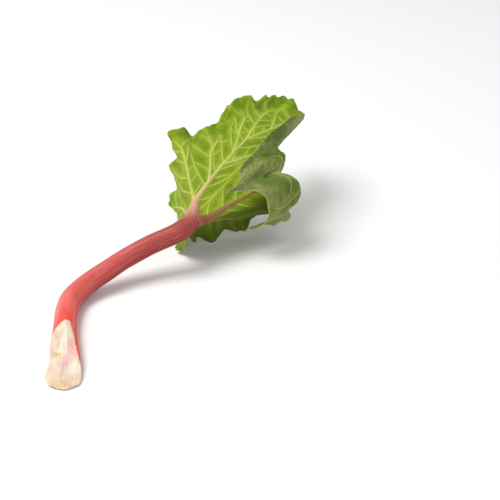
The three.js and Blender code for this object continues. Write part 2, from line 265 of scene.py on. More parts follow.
# The torn front edge is ragged and swept back, and a thin flap stands out at its left corner.
heel_nose, heel_sweep = 1, 1 / 44
flap_reach, flap_at, flap_length = 2.4, -6, 5.5
ragged = 0.9 + 0.8 * rough(x, 0, 3.6, 7) + 0.5 * rough(x, 0, 1.1, 8)
place[:, 1] += np.clip(ragged, 0, None) * ramp(-5, -12, y)
left_side = ramp(-12, -20, x)
place[:, 0] -= flap_reach * bell((y - flap_at) / flap_length) * left_side
place[:, 1] += heel_sweep * (x - heel_nose) ** 2 * ramp(14, -13, y)
place[:, 2] = np.maximum(place[:, 2], 0)
place_points(stalk.data, inside_box(place, 0.5))

# Border of the pale torn face in plan, from its tip round by the right side.
torn_border = np.array([
    [-6.2, 79], [-3.2, 70], [0.8, 55], [5.6, 38], [10.5, 22], [18, 10], [18, -16],
    [-28, -16], [-28, 48], [-24, 60], [-19.5, 69], [-13.5, 76.5], [-10, 79.5],
], float)
far_off = 1e9


def border_distance(points, border):
    """Distance inside a closed border, negative outside it."""
    nearest = np.full(len(points), far_off)
    within = np.zeros(len(points), bool)
    for a, b in zip(border, np.roll(border, -1, axis=0)):
        step = b - a
        share = np.clip(((points - a) @ step) / (step @ step), 0, 1)
        nearest = np.minimum(nearest, np.linalg.norm(points - a - share[:, None] * step, axis=1))
        crosses = (a[1] > points[:, 1]) != (b[1] > points[:, 1])
        with np.errstate(divide="ignore", invalid="ignore"):
            at = a[0] + (points[:, 1] - a[1]) / (b[1] - a[1]) * step[0]
        within ^= crosses & (points[:, 0] < at)
    return np.where(within, nearest, -nearest)


# How far each point lies inside the torn face. The face keeps to the upper side of the heel, and its
# thin front end is pale all round.
upper_side, well_outside, pale_front = -0.25, -6, 12
torn = border_distance(place[:, :2], torn_border)
torn = np.where(np.sin(around) > upper_side, torn, well_outside)
torn = np.where(y < pale_front, np.maximum(torn, 6 * ramp(pale_front, 2, y) - 1), torn)

# Thin dry skin clings to the left side behind the heel.
film_angle = 172
film = ramp(58, 34, np.abs(np.degrees(np.abs(around)) - film_angle))
film *= ramp(72, 84, y) * ramp(146, 118, y)
skin_radius = 12
store(stalk.data, {
    "torn": torn,
    "film": film,
    "along": np.clip(run / length[-1], 0, 1),
    "skin": np.stack([np.cos(around) * skin_radius, np.sin(around) * skin_radius, run], -1),
    "comb": comb * on_skin,
    # low marks the lower side of the stalk, which gets painted shade in its material
    "low": ramp(0.70, -0.45, np.sin(around)),
})
bpy.ops.object.shade_smooth()


class Wire:
    """A material's socket that can stand in a sum; an expression on wires adds its Math nodes."""

    def __init__(self, tree, socket=None):
        self.tree = tree
        self.socket = socket

    def node(self, kind, settings=None, inputs=None, output=0):
        made = self.tree.nodes.new(kind)
        for name, value in (settings or {}).items():
            if name == "stops":
                marks = made.color_ramp.elements
                marks[0].position, marks[0].color = value[0][0], (*value[0][1], 1)
                marks[1].position, marks[1].color = value[-1][0], (*value[-1][1], 1)
                for at, colour in value[1:-1]:
                    marks.new(at).color = (*colour, 1)
            else:
                setattr(made, name, value)
        for key, value in (inputs or {}).items():
            if isinstance(value, Wire):
                self.tree.links.new(value.socket, made.inputs[key])
            else:
                made.inputs[key].default_value = value
        return Wire(self.tree, made.outputs[output])

    def calc(self, operation, *values):
        return self.node("ShaderNodeMath", {"operation": operation}, dict(enumerate(values)))

    def __add__(self, other):
        return self.calc("ADD", self, other)

    def __sub__(self, other):
        return self.calc("SUBTRACT", self, other)

    def __rsub__(self, other):
        return self.calc("SUBTRACT", other, self)

    def __mul__(self, other):
        return self.calc("MULTIPLY", self, other)

    def __abs__(self):
        return self.calc("ABSOLUTE", self)

    __radd__ = __add__

    def step(self, low, high):
        """Smooth change from 0 at low to 1 at high."""
        return self.node(
            "ShaderNodeMapRange",
            {"interpolation_type": "SMOOTHSTEP"},
            {"Value": self, "From Min": low, "From Max": high},
        )

    def mix(self, first, second):
        """Colour between two, with this wire as the share of the second."""
        first, second = [c if isinstance(c, Wire) else (*c, 1) for c in (first, second)]
        return self.node("ShaderNodeMix", {"data_type": "RGBA"}, {0: self, 6: first, 7: second}, 2)

    def read(self, name, output="Fac"):
        return self.node("ShaderNodeAttribute", {"attribute_name": name}, output=output)

    def stretched(self, factors):
        return self.node("ShaderNodeVectorMath", {"operation": "MULTIPLY"}, {0: self, 1: factors})

    def noise(self, scale, detail):
        inputs = {"Vector": self, "Scale": scale, "Detail": detail}
        return self.node("ShaderNodeTexNoise", None, inputs)

    def bumps(self, strength, distance):
        inputs = {"Strength": strength, "Distance": distance, "Height": self}
        return self.node("ShaderNodeBump", None, inputs)

    def feed(self, shader, name):
        self.tree.links.new(self.socket, shader.inputs[name])


def new_material(name):
    made = bpy.data.materials.new(name)
    made.use_nodes = True
    shader = made.node_tree.nodes["Principled BSDF"]
    return made, shader, Wire(made.node_tree)


def settle(shader, constants):
    """Sets constants on the shader's own sockets."""
    for name, value in constants.items():
        shader.inputs[name].default_value = value


def layered(colour, layers):
    """A colour with others laid over it in turn, each with its share."""
    for share, tint in layers:
        colour = share.mix(colour, tint)
    return colour


stalk_skin, shader, wire = new_material("red_skin_and_pale_flesh")
skin_place = wire.read("skin", "Vector")
along = wire.read("along")
streaks = skin_place.stretched((1, 1, 0.05)).noise(0.55, 5)
broad = skin_place.stretched((1, 1, 0.16)).noise(0.16, 3)
hairlines = skin_place.stretched((1, 1, 0.025)).noise(1.9, 4)

# Crimson near the heel, pinker half way, dull towards the fork, partly with painted shade, and straw
# where it meets the ribs.
skin_stops = [
    (0.0, (0.72, 0.20, 0.18)), (0.12, (0.95, 0.024, 0.010)), (0.21, (0.94, 0.030, 0.014)),
    (0.28, (0.86, 0.080, 0.056)), (0.36, (0.78, 0.135, 0.112)), (0.63, (0.55, 0.080, 0.072)),
    (0.78, (0.36, 0.050, 0.038)), (0.865, (0.30, 0.054, 0.037)), (0.895, (0.38, 0.100, 0.075)),
    (0.92, (0.51, 0.205, 0.160)), (0.95, (0.60, 0.300, 0.210)), (0.97, (0.58, 0.36, 0.20)),
    (1.0, (0.54, 0.40, 0.17)),
]
red = along.node("ShaderNodeValToRGB", {"stops": skin_stops}, {"Fac": along})
low_side_shade = wire.read("low")
before_neck = along.step(0.93, 0.88)
pale_lines = along.step(0.12, 0.45) * 0.7 * along.step(1.0, 0.86) + 0.3
valley = (wire.read("comb") * -1).step(0.1, 0.6)
speck_inputs = {"Vector": skin_place.stretched((1, 1, 0.55)), "Scale": 0.42}
specks = skin_place.node("ShaderNodeTexVoronoi", {"feature": "F1"}, speck_inputs)
spots = (1 - specks.step(0.08, 0.16)) * broad.step(0.42, 0.56) * before_neck
papery = (wire.read("film") + (streaks - 0.5) * 1.6 + (broad - 0.5) * 1.2).step(0.25, 1.05)
red = layered(red, [
    (low_side_shade * along.step(0.15, 0.75) * before_neck * 0.97, (0.075, 0.006, 0.005)),  # painted shade, deepest on the low side
    (low_side_shade * before_neck * 0.45, (0.45, 0.014, 0.016)),  # crimson about it, partly the skin's own colour and partly painted shade on the low side
    (streaks.step(0.50, 0.74) * pale_lines * 0.22, (0.84, 0.28, 0.22)),  # pale streaks
    ((1 - streaks).step(0.50, 0.72) * before_neck * 0.20, (0.36, 0.014, 0.016)),  # dark streaks
    (broad.step(0.42, 0.66) * before_neck * 0.26, (0.46, 0.03, 0.034)),  # wine-red patches
    (hairlines.step(0.56, 0.68) * pale_lines * 0.18, (0.86, 0.44, 0.36)),  # pale hairlines
    (valley * 0.16, (0.30, 0.012, 0.014)),  # darker between the ribs
    (spots * 0.5, (0.20, 0.010, 0.012)),  # specks
    (papery * 0.45, (0.66, 0.32, 0.28)),  # dry skin
])

# The torn flesh is cream, with darker fibres along it.
dark_cream, light_cream = (0.72, 0.55, 0.39), (0.81, 0.69, 0.55)
fibre_tan, rim_tan = (0.62, 0.44, 0.28), (0.72, 0.50, 0.27)
flesh_place = wire.node("ShaderNodeTexCoord", output="Object")
flesh_grain = flesh_place.stretched((900, 160, 400)).noise(1.0, 5)
flesh_cloud = flesh_place.noise(55, 4)
cream = flesh_cloud.step(0.35, 0.65).mix(dark_cream, light_cream)
cream = (flesh_grain.step(0.48, 0.80) * 0.28).mix(cream, fibre_tan)
flesh_drift = flesh_place.stretched((1, 0.4, 1)).noise(140, 4)


def patch(centre, reach):
    """Soft round patch about a place on the heel, in metres, with a ragged border."""
    ends = {0: flesh_place, 1: centre}
    moved = flesh_place.node("ShaderNodeVectorMath", {"operation": "SUBTRACT"}, ends)
    scaled = moved.stretched(tuple(1 / r for r in reach))
    far = scaled.node("ShaderNodeVectorMath", {"operation": "LENGTH"}, {0: scaled}, "Value")
    return (far + (flesh_cloud - 0.5) * 1.3 + (flesh_drift - 0.5) * 1.2).step(1.3, 0.2)


cream = layered(cream, [
    (patch((0.004, 0.041, 0.016), (0.008, 0.024, 0.03)) * 0.68, (0.80, 0.38, 0.38)),  # pink facet
    (patch((0.000, 0.027, 0.012), (0.015, 0.009, 0.03)) * 0.5, (0.78, 0.40, 0.40)),  # pink fold
    (patch((-0.0050, 0.020, 0.010), (0.007, 0.011, 0.03)) * 0.62, (0.72, 0.32, 0.42)),  # lilac hollow
    (patch((-0.0125, 0.032, 0.013), (0.0065, 0.003, 0.03)) * 0.85, (0.50, 0.47, 0.10)),  # green dent
    (patch((-0.0145, 0.046, 0.016), (0.0022, 0.010, 0.03)) * 0.6, (0.40, 0.28, 0.17)),  # brown valley
    (patch((-0.0070, 0.052, 0.019), (0.003, 0.015, 0.03)) * 0.7, (0.86, 0.78, 0.62)),  # pale ridge
    (patch((0.002, -0.008, 0.003), (0.024, 0.006, 0.03)) * 0.62, (0.62, 0.37, 0.18)),  # brown front
    (patch((-0.021, 0.040, 0.012), (0.0055, 0.034, 0.03)) * 0.5, (0.62, 0.40, 0.27)),  # tan left edge
])
torn_depth = wire.read("torn") + (flesh_grain - 0.5) * 3.0
cream = (torn_depth.step(3.2, 0.4) * 0.55).mix(cream, rim_tan)
torn_mask = torn_depth.step(-0.5, 0.5)
torn_mask.mix(red, cream).feed(shader, "Base Color")
gloss = 0.34 + streaks * 0.14 + papery * 0.2
(gloss * (1 - torn_mask) + torn_mask * (0.5 + flesh_grain * 0.16)).feed(shader, "Roughness")
relief = (hairlines * 0.3 + streaks * 0.3) * (1 - torn_mask) + flesh_grain * torn_mask
relief.bumps(0.4, 0.0006).feed(shader, "Normal")
settle(shader, {
    "Subsurface Weight": 0.08, "Subsurface Radius": (0.004, 0.0012, 0.0008),
    "Specular IOR Level": 0.3, "Coat Weight": 0.12, "Coat Roughness": 0.25,
})
stalk.data.materials.append(stalk_skin)
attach(stalk, "root")
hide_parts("stalk")


# ---- Leaf ----
# The real piece is one large soft blade, folded about the fork and rolled along its right side, with
# wavy edges, two base lobes and branching ribs that stand out from its underside. It grew on the stalk.
# A flat grid is cut to its outline, folded into place, given its thickness and raised at the ribs.

# Margin: angle from the midrib in degrees (left is positive), radius and lift of the wave in
# millimetres.
margin = np.array([
    [-126, 34, 0], [-118, 54, 2], [-109, 66, -4], [-99, 78, 5], [-89, 89, -3], [-79, 106, 6],
    [-69, 126, -6], [-60, 144, 7], [-51, 160, -6], [-43, 178, 7], [-36, 198, -7], [-29, 214, 8],
    [-23, 222, -8], [-17, 226, 9], [-12, 222, -8], [-8, 246, 3], [-5, 262, 6], [-2, 270, 11],
    [1, 273, 16], [4, 272, 16], [6.5, 258, 13], [9, 233, 7], [11, 228, 9], [14, 217, 8],
    [17, 199, 1], [19, 172, -8], [24, 148, 1], [30, 139, -6], [35, 142, 6], [41, 140, 7],
    [48, 126, -3], [56, 126, 4], [66, 114, -4], [76, 108, 6], [87, 92, -4], [98, 83, 4],
    [109, 75, -3], [120, 66, 2], [130, 52, -1], [140, 34, 0],
], float)
fork = np.array([116, 235, 53.5])
blade_slope, midrib_angle = math.radians(28), math.radians(61)
upslope = np.array([0, math.cos(blade_slope), math.sin(blade_slope)])
outward = np.array([0, -math.sin(blade_slope), math.cos(blade_slope)])
ahead = np.array([math.cos(midrib_angle), 0, 0]) + math.sin(midrib_angle) * upslope
aside = np.array([-math.sin(midrib_angle), 0, 0]) + math.cos(midrib_angle) * upslope

# Creases along rays from the fork: angle, span, and degrees that the sheet turns away.
creases = [
    (38, 10, 74), (-36, 13, 98), (0, 16, -8), (18, 14, 9), (-14, 18, 12), (75, 40, -10),
    (-80, 40, -12),
]
crease_step = 0.5
half_fan = int(180 / crease_step)


def fan(sign):
    """Directions of the folded fan's rays, and the blade's normal on each, away from the midrib."""
    ray, turning, normal = np.eye(3)
    rows = [(ray, normal)]
    swing = math.radians(crease_step) * sign
    for k in range(half_fan):
        angle = (k + 0.5) * crease_step * sign
        turn = 0
        for centre, span, degrees in creases:
            q = (angle - centre) / span
            if abs(q) < 0.5:
                turn += degrees / span * (1 + math.cos(2 * math.pi * q))
        turn = math.radians(turn * crease_step) * sign
        swung = turning * math.cos(swing) - ray * math.sin(swing)
        ray = ray * math.cos(swing) + turning * math.sin(swing)
        turning = swung * math.cos(turn) - normal * math.sin(turn)
        normal = normal * math.cos(turn) + swung * math.sin(turn)
        rows.append((ray, normal))
    return rows


fan_rows = np.array(fan(-1)[:0:-1] + fan(1))

# The margin's wave dies out inwards, and beyond a line across it the whole blade droops.
frill_depth, frill_power, frill_spread = 42, 1.6, 0.22
droop_start, droop_radius = 95, 210

# Part of the margin that rolls forward: angle and depth at each key.
roll_keys = np.array([
    [-68, 0], [-58, 14], [-50, 44], [-42, 74], [-35, 72], [-28, 100], [-21, 92], [-15, 88],
    [-10, 52], [-5, 0],
], float)
roll_radius, roll_turn, roll_fade = 9, math.radians(168), 60


def roll_at(angle):
    """Whether the ray at an angle is rolled, and how deep its rolled end is."""
    within = (angle > roll_keys[0, 0]) & (angle < roll_keys[-1, 0])
    return within, hermite(roll_keys[:, 0], roll_keys[:, 1], angle)


def blade(angle, distance, extra):
    """Place of a point of the flat leaf on the folded one, lifted by extra towards the underside."""
    edge = hermite(margin[:, 0], margin[:, 1], angle)
    wave = hermite(margin[:, 0], margin[:, 2], angle)
    near = np.clip((distance - edge) / frill_depth + 1, 0, None) ** frill_power
    lift = wave * (near + frill_spread * np.clip(distance / edge, 0, 1) ** 2)
    within, depth = roll_at(angle)
    past = distance - edge + depth
    turn = np.clip(past / roll_radius, 0, roll_turn)
    rest = past - roll_radius * turn
    left = lift * np.exp(-np.clip(past, 0, None) / roll_fade) + extra
    rolled = within & (depth > 0) & (past > 0)
    out = distance - past + roll_radius * np.sin(turn) + rest * np.cos(turn) - left * np.sin(turn)
    out = np.where(rolled, out, distance)
    lift_rolled = roll_radius * (1 - np.cos(turn)) + rest * np.sin(turn) + left * np.cos(turn)
    lift = np.where(rolled, lift_rolled - extra, lift)
    lift = lift + extra
    place = np.clip(angle / crease_step + half_fan, 0, 2 * half_fan - 0.001)
    i = place.astype(int)
    share = (place - i)[:, None, None]
    row = fan_rows[i] * (1 - share) + fan_rows[i + 1] * share
    flat = row[:, 0] * out[:, None] + row[:, 1] * lift[:, None]
    turn = np.clip((flat[:, 0] - droop_start) / droop_radius, 0, None)
    drooped = turn > 0
    height = flat[:, 2]
    along_droop = droop_start + (droop_radius + height) * np.sin(turn)
    height_droop = (droop_radius + height) * np.cos(turn) - droop_radius
    u = np.where(drooped, along_droop, flat[:, 0])
    n = np.where(drooped, height_droop, height)
    return fork + u[:, None] * ahead + flat[:, 1:2] * aside + n[:, None] * outward


def rays(degrees):
    """Directions on the flat leaf."""
    return np.stack([np.cos(np.radians(degrees)), np.sin(np.radians(degrees))], -1)


# Outline on the flat leaf, with small teeth, and the distance along it.
dense = np.linspace(margin[0, 0], margin[-1, 0], 3000)
dense_edge = hermite(margin[:, 0], margin[:, 1], dense)
plain = dense_edge[:, None] * rays(dense)
edge_run = run_along(plain)
small_tooth, large_tooth, tooth_inset = 0.8, 0.5, 1.3
teeth = small_tooth * np.sin(edge_run / 2.1 + 2 * np.sin(edge_run / 13))
teeth = teeth + large_tooth * np.sin(edge_run / 5.3) - tooth_inset
dense_edge = dense_edge + teeth
inner, inner_samples = 3.0, 60  # the blade starts a little way out from the fork
outer_line = dense_edge[:, None] * rays(dense)
ends = ((dense[0], dense_edge[0]), (dense[-1], dense_edge[-1]))
closing = [np.linspace(inner, edge, inner_samples)[:, None] * rays(angle) for angle, edge in ends]
inner_line = inner * rays(np.linspace(dense[0], dense[-1], inner_samples))
outline = np.concatenate([outer_line, *closing, inner_line])

grid_pitch, grid_margin, overhang = 1.05, 2, 0.3
low, high = outer_line.min(0) - grid_margin, outer_line.max(0) + grid_margin
cells = np.ceil((high - low) / grid_pitch).astype(int)
bpy.ops.mesh.primitive_grid_add(x_subdivisions=int(cells[0]), y_subdivisions=int(cells[1]), size=1)
leaf = bpy.context.object
leaf.name = "rhubarb_leaf"
flat = low + (points_of(leaf.data)[:, :2] + 0.5) * (high - low)


def polar(flat):
    """Angle in degrees and distance from the fork."""
    return np.degrees(np.arctan2(flat[:, 1], flat[:, 0])), np.hypot(flat[:, 0], flat[:, 1])


def nearest(samples, points):
    """Number of the nearest sample to each point, on the flat leaf."""
    tree = kdtree.KDTree(len(samples))
    for i, (x, y) in enumerate(samples.tolist()):
        tree.insert((x, y, 0), i)
    tree.balance()
    return np.array([tree.find((x, y, 0))[1] for x, y in points.tolist()])


angle, distance = polar(flat)
over = distance - np.interp(angle, dense, dense_edge)
keep = (angle > dense[0]) & (angle < dense[-1]) & (over < overhang) & (distance > inner)
leaf.data.vertices.foreach_set("co", np.c_[flat, np.zeros(len(flat))].astype(np.float32).ravel())


def delete_points(obj, chosen):
    """Takes the chosen points out of a sheet."""
    bpy.ops.object.mode_set(mode="EDIT")
    bpy.ops.mesh.select_mode(type="VERT")
    bpy.ops.mesh.select_all(action="DESELECT")
    bpy.ops.object.mode_set(mode="OBJECT")
    obj.data.vertices.foreach_set("select", chosen)
    bpy.ops.object.mode_set(mode="EDIT")
    bpy.ops.mesh.delete(type="VERT")
    bpy.ops.object.mode_set(mode="OBJECT")


def border_ends(mesh):
    """How many border edges meet at each point of a sheet."""
    sides = np.empty(len(mesh.loops), np.int32)
    mesh.loops.foreach_get("edge_index", sides)
    ends = np.empty(len(mesh.edges) * 2, np.int32)
    mesh.edges.foreach_get("vertices", ends)
    faces = np.bincount(sides, minlength=len(mesh.edges))
    return np.bincount(ends.reshape(-1, 2)[faces < 2].ravel(), minlength=len(mesh.vertices))


# Single faces left hanging on the cut edge go too, and the edge then takes the outline.
delete_points(leaf, ~keep)
clearings = 4
for _ in range(clearings):
    ends = border_ends(leaf.data)
    sides = np.empty(len(leaf.data.loops), np.int32)
    leaf.data.loops.foreach_get("vertex_index", sides)
    faces = np.bincount(sides, minlength=len(leaf.data.vertices))
    loose = (ends > 2) | (faces < 2)
    if not loose.any():
        break
    delete_points(leaf, loose)

flat = points_of(leaf.data)[:, :2]
border = border_ends(leaf.data) > 0
flat[border] = outline[nearest(outline, flat[border])]

# Ribs: points along and across the midrib on the flat leaf, radius at the root, beyond it and at the
# tip, and how far the pink of the stalk runs up each.
ribs = [
    ([[2, 1], [15, 7], [28, 11], [40, 12], [62, 12], [92, 10], [113, 8], [141, 6], [165, 9], [187, 12],
      [213, 14], [234, 10]], 8, 2.2, 0.6, 60),
    ([[26, 11], [32, 15], [47, 29], [64, 43], [79, 56], [89, 66], [97, 78]], 2.8, 1.9, 0.7, 18),
    ([[6, -3], [19, -13], [48, -27], [76, -42], [110, -58], [140, -72]], 4.6, 2.7, 0.8, 95),
    ([[62, 12], [83, 22], [100, 31], [113, 33], [130, 35]], 1.8, 1.3, 0.6, 0),
    ([[113, 8], [134, 14], [151, 20], [170, 26], [188, 36]], 1.6, 1.2, 0.6, 0),
    ([[92, 10], [112, -6], [134, -22], [158, -40]], 1.6, 1.2, 0.6, 0),
    ([[141, 6], [170, -6], [202, -15], [227, -15], [240, -21]], 1.5, 1.1, 0.6, 0),
    ([[4, 6], [10, 20], [16, 45], [18, 88]], 2.6, 1.6, 0.7, 30),
    ([[8, -6], [20, -28], [30, -56], [40, -92]], 2.8, 1.7, 0.7, 40),
]
rib_spread = 20  # how soon a rib thins beyond its root

# Branches seen between the ribs, in the same form.
branches = [
    [[76, 51], [90, 58], [103, 65]], [[105, 31], [113, 40], [118, 48], [117, 53]],
    [[170, 26], [184, 27]], [[145, 19], [157, 29], [168, 36]],
    [[180, -9], [205, -2], [232, 6], [255, 5]], [[202, -15], [227, -14], [243, -23]],
]


def traced(path):
    """Points, directions, distances and shares along a smooth line through a path."""
    spacing, samples = 0.5, 60
    path = np.asarray(path, float)
    fine = np.linspace(0, len(path) - 1, samples * len(path))
    line = through(path, fine)
    run = run_along(line)
    at = np.linspace(0, run[-1], max(int(run[-1] / spacing), 2))
    share = np.interp(at, run, fine) / (len(path) - 1)
    line = np.stack([np.interp(at, run, line[:, c]) for c in (0, 1)], -1)
    return line, unit(np.gradient(line, axis=0)), at, share


rib_lines = []
for path, root, middle, tip, red_run in ribs:
    line, heading, run, share = traced(path)
    radius = tip + (middle - tip) * (1 - share) + (root - middle) * np.exp(-run / rib_spread)
    radius *= ramp(-6, 22, run[-1] - run)
    rib_lines.append((line, heading, run, radius, red_run))

# A vein's width grows over its first millimetres, so that it leaves the rib without a step.
branch_radius, branch_taper, vein_taper, vein_entry = 0.95, 0.85, 0.7, 2.5
vein_lines = []
for path in branches:
    line, heading, run, share = traced(path)
    thick = branch_radius * (1 - branch_taper * share**2) - ramp(vein_entry, 0, run)
    vein_lines.append((line, heading, thick))
rib_samples = np.concatenate([line for line, *_ in rib_lines])
rib_owner = np.concatenate([np.full(len(r[0]), k) for k, r in enumerate(rib_lines)])

# Side veins leave the ribs in turn on both sides, bend towards the tip and end where they meet another.
draw = np.random.default_rng(11)
first_vein, first_vein_range, last_vein = 10, 8, 4
vein_spacing, vein_step, vein_steps = 19.0, 2.0, 34
leaving_angles, bends, wobble = (44, 58), (0.3, 1.5), 2.2
edge_room, meeting_gap, vein_radius_most = 1.5, 1.4, 0.85
for owner, (line, heading, run, radius, _) in enumerate(rib_lines):
    for turn in (1, -1):
        at = first_vein + draw.uniform(0, first_vein_range)
        while at < run[-1] - last_vein:
            k = int(np.searchsorted(run, at))
            start_radius = radius[k]
            at += vein_spacing * draw.uniform(0.8, 1.25)
            leaving = turn * math.radians(draw.uniform(*leaving_angles))
            course = math.atan2(heading[k][1], heading[k][0]) + leaving
            bend = -turn * math.radians(draw.uniform(*bends))
            spot = line[k].copy()
            trail = [spot.copy()]
            for n in range(vein_steps):
                spot = spot + vein_step * np.array([math.cos(course), math.sin(course)])
                course += bend + math.radians(draw.normal(0, wobble))
                spot_angle, spot_distance = polar(spot[None])
                if spot_distance[0] > np.interp(spot_angle[0], dense, dense_edge) - edge_room:
                    break
                gaps = np.linalg.norm(rib_samples - spot, axis=1)
                near = gaps < vein_step * 0.6
                trail.append(spot.copy())
                if n > 1 and (near & (rib_owner != owner)).any():
                    break
                vein_gaps = [np.linalg.norm(v[0] - spot, axis=1).min() for v in vein_lines]
                if n > 2 and min(vein_gaps) < meeting_gap:
                    break
            if len(trail) > 3:
                trail = np.array(trail)
                trail_line, trail_heading, trail_run, share = traced(trail)
                thick = min(0.4 + 0.22 * start_radius, vein_radius_most)
                thick = thick * (1 - vein_taper * share**1.5) - ramp(vein_entry, 0, trail_run)
                vein_lines.append((trail_line, trail_heading, thick))


def line_gap(one, other):
    """Smallest distance between two lines."""
    return np.linalg.norm(one[0][::2, None] - other[0][::2], axis=2).min()


def grouped(lines):
    """Three groups of lines. Lines that meet go apart, so that each stays clear to its very end."""
    groups = [[], [], []]
    for new in lines:
        gaps = [min((line_gap(old, new) for old in group), default=far_off) for group in groups]
        groups[int(np.argmax(gaps))].append(new)
    return groups


vein_samples = np.concatenate([v[0] for v in vein_lines])
vein_headings = np.concatenate([v[1] for v in vein_lines])


def off_line(points, samples, headings, chosen):
    """Signed distance of each point to the line through its chosen sample."""
    gap = points - samples[chosen]
    return gap[:, 1] * headings[chosen][:, 0] - gap[:, 0] * headings[chosen][:, 1]


# Grid points beside a vein or a rib move onto it, so that thin lines run unbroken.
snap_side, snap_reach = 0.48 * grid_pitch, 0.6 * grid_pitch
for samples, headings in (
    (vein_samples, vein_headings),
    (rib_samples, np.concatenate([r[1] for r in rib_lines])),
):
    chosen = nearest(samples, flat)
    gap = off_line(flat, samples, headings, chosen)
    close = (np.abs(gap) < snap_side) & ~border
    close &= np.linalg.norm(flat - samples[chosen], axis=1) < snap_reach
    sideways = np.stack([-headings[chosen][:, 1], headings[chosen][:, 0]], -1)
    flat[close] -= sideways[close] * gap[close, None]

angle, distance = polar(flat)
count = len(flat)


def pink(distance, reach):
    """Share of the stalk's colour at a distance from the fork."""
    fork_reach = 17
    return 0.5 * bell(distance / reach) + 0.5 * bell(distance / fork_reach)


# Heights of the ribs, their share of the surface, and the pink that runs up them. The signed distance
# to the nearest rib, in shares of its width, stays sharp between the points of the mesh.
rib_breadth, rib_boldness, rib_roundness, clear_of_ribs = 1.3, 0.95, 0.8, 4.0
foot_height, foot_reach = 0.22, 1.9
rib_height = np.zeros(count)
rib_cover = np.zeros(count)
rib_red = np.zeros(count)
rib_gap = np.full(count, far_off)
rib_side = []
for group in grouped(rib_lines):
    sides = np.full(count, clear_of_ribs)
    for line, heading, run, radius, red_run in group:
        chosen = nearest(line, flat)
        gap = np.linalg.norm(flat - line[chosen], axis=1)
        off = off_line(flat, line, heading, chosen)
        inside = (chosen > 0) & (chosen < len(line) - 1)
        gap = np.where(inside, np.abs(off), gap)
        wide = radius[chosen] * rib_breadth
        q = gap / wide
        firm = ramp(1.3, 2.6, radius[chosen])
        firm_height = np.clip(1 - q**2, 0, 1) ** rib_roundness
        firm_height += foot_height * bell(gap / (foot_reach * wide))
        soft_height = bell(gap / (0.6 * wide + 0.6))
        height = rib_boldness * radius[chosen] * (firm * firm_height + (1 - firm) * soft_height)
        rib_height = (rib_height**4 + height**4) ** 0.25
        sides = np.where(q < np.abs(sides), np.where(inside, np.sign(off), 1) * q, sides)
        if red_run:
            rib_red = np.maximum(rib_red, pink(distance, red_run) * ramp(1.9, 0.9, q))
        rib_cover = np.maximum(rib_cover, ramp(1.25, 0.65, q))
        rib_gap = np.minimum(rib_gap, np.clip(gap - wide * 0.8, 0, None))
    rib_side.append(sides)
rib_side = np.stack(rib_side, -1)

# Each group of veins keeps its signed distance, its plain distance and its width in the same way.
vein_height = np.zeros(count)
vein_gap = np.full(count, far_off)
vein_marks = []
vein_boldness, vein_end = 0.75, 1.5
for group in grouped(vein_lines):
    samples, headings, radii = [np.concatenate(part) for part in zip(*group)]
    chosen = nearest(samples, flat)
    near = np.linalg.norm(flat - samples[chosen], axis=1)
    side = off_line(flat, samples, headings, chosen)
    gap = np.where(near < vein_end, np.abs(side), near)
    wide = radii[chosen]
    full = np.clip(wide, 0, None)
    height = vein_boldness * full * bell(gap / (1.1 * full + 0.5))
    vein_height = np.maximum(vein_height, height)
    vein_gap = np.minimum(vein_gap, gap)
    vein_marks.append(np.c_[side, near, wide])


def net(points, cell, seed):
    """Distance from each point to the border of its scattered cell."""
    tile = 64
    jitter = np.random.default_rng(seed).uniform(0.1, 0.9, (tile, tile, 2))
    home = np.floor(points / cell).astype(int)
    gaps = []
    spots = []
    for dx in (-2, -1, 0, 1, 2):
        for dy in (-2, -1, 0, 1, 2):
            key = home + [dx, dy]
            spot = (key + jitter[key[:, 0] % tile, key[:, 1] % tile]) * cell
            spots.append(spot)
            gaps.append(np.linalg.norm(points - spot, axis=1))
    gaps = np.array(gaps)
    order = np.argsort(gaps, axis=0)[:2]
    spots = np.array(spots)
    each = np.arange(len(points))
    first, second = spots[order[0], each], spots[order[1], each]
    middle = (first + second) / 2
    return np.abs(np.einsum("ij,ij->i", points - middle, unit(second - first)))


# A net of small veins fills the sheet between the larger ones.
net_cell, net_slope, hollow_reach = 8.0, 2.6, 5.5
net_gap = net(flat, net_cell, 5)
small_cell = ramp(0, net_slope, net_gap)
hollow_gap = np.minimum(vein_gap, rib_gap)
hollow = 1 - bell(hollow_gap / hollow_reach)

# The sheet billows towards its upper side between its veins, and its edge is ruffled.
fine_ruffle, broad_ruffle, ruffle_reach = 1.7, 1.1, 8
edge_gap = np.linalg.norm(flat - outer_line[nearest(outer_line, flat)], axis=1)
edge_at = np.interp(angle, dense, edge_run)
ruffle = fine_ruffle * np.sin(edge_at / 3.1 + 1.6 * np.sin(edge_at / 14))
ruffle += broad_ruffle * np.sin(edge_at / 6.7 + 1)
ruffle *= bell(edge_gap / ruffle_reach) * ramp(30, 60, distance)

# calm is 1 on the quiet parts. It falls where the roll's turning is slanted, and crumples fall with it.
steep_slant = 1.3
within, depth = roll_at(angle)
depth = np.where(within, depth, 0)
past = distance - np.interp(angle, dense, dense_edge) + depth
rolled_part = ramp(0, 25, past) * ramp(0, 15, depth)
_, beyond = roll_at(np.clip(angle + 1, roll_keys[0, 0], roll_keys[-1, 0]))
slant = np.abs(beyond - depth) / np.radians(distance + 1) * (past > 0)
calm = 1 / (1 + (slant / steep_slant) ** 2)
crumple_height, small_crumple = 0.9, 0.45
crumple = crumple_height * rough(flat[:, 0], flat[:, 1], 17, 21)
crumple += small_crumple * rough(flat[:, 0], flat[:, 1], 7, 22)
crumple *= (1 + 0.3 * rolled_part) * ramp(15, 70, distance) * (1 - 0.8 * rib_cover)
billow = (1.3 + 0.3 * rolled_part) * hollow + (0.35 + 0.25 * rolled_part) * small_cell * hollow
extra = ruffle + (crumple - billow) * calm

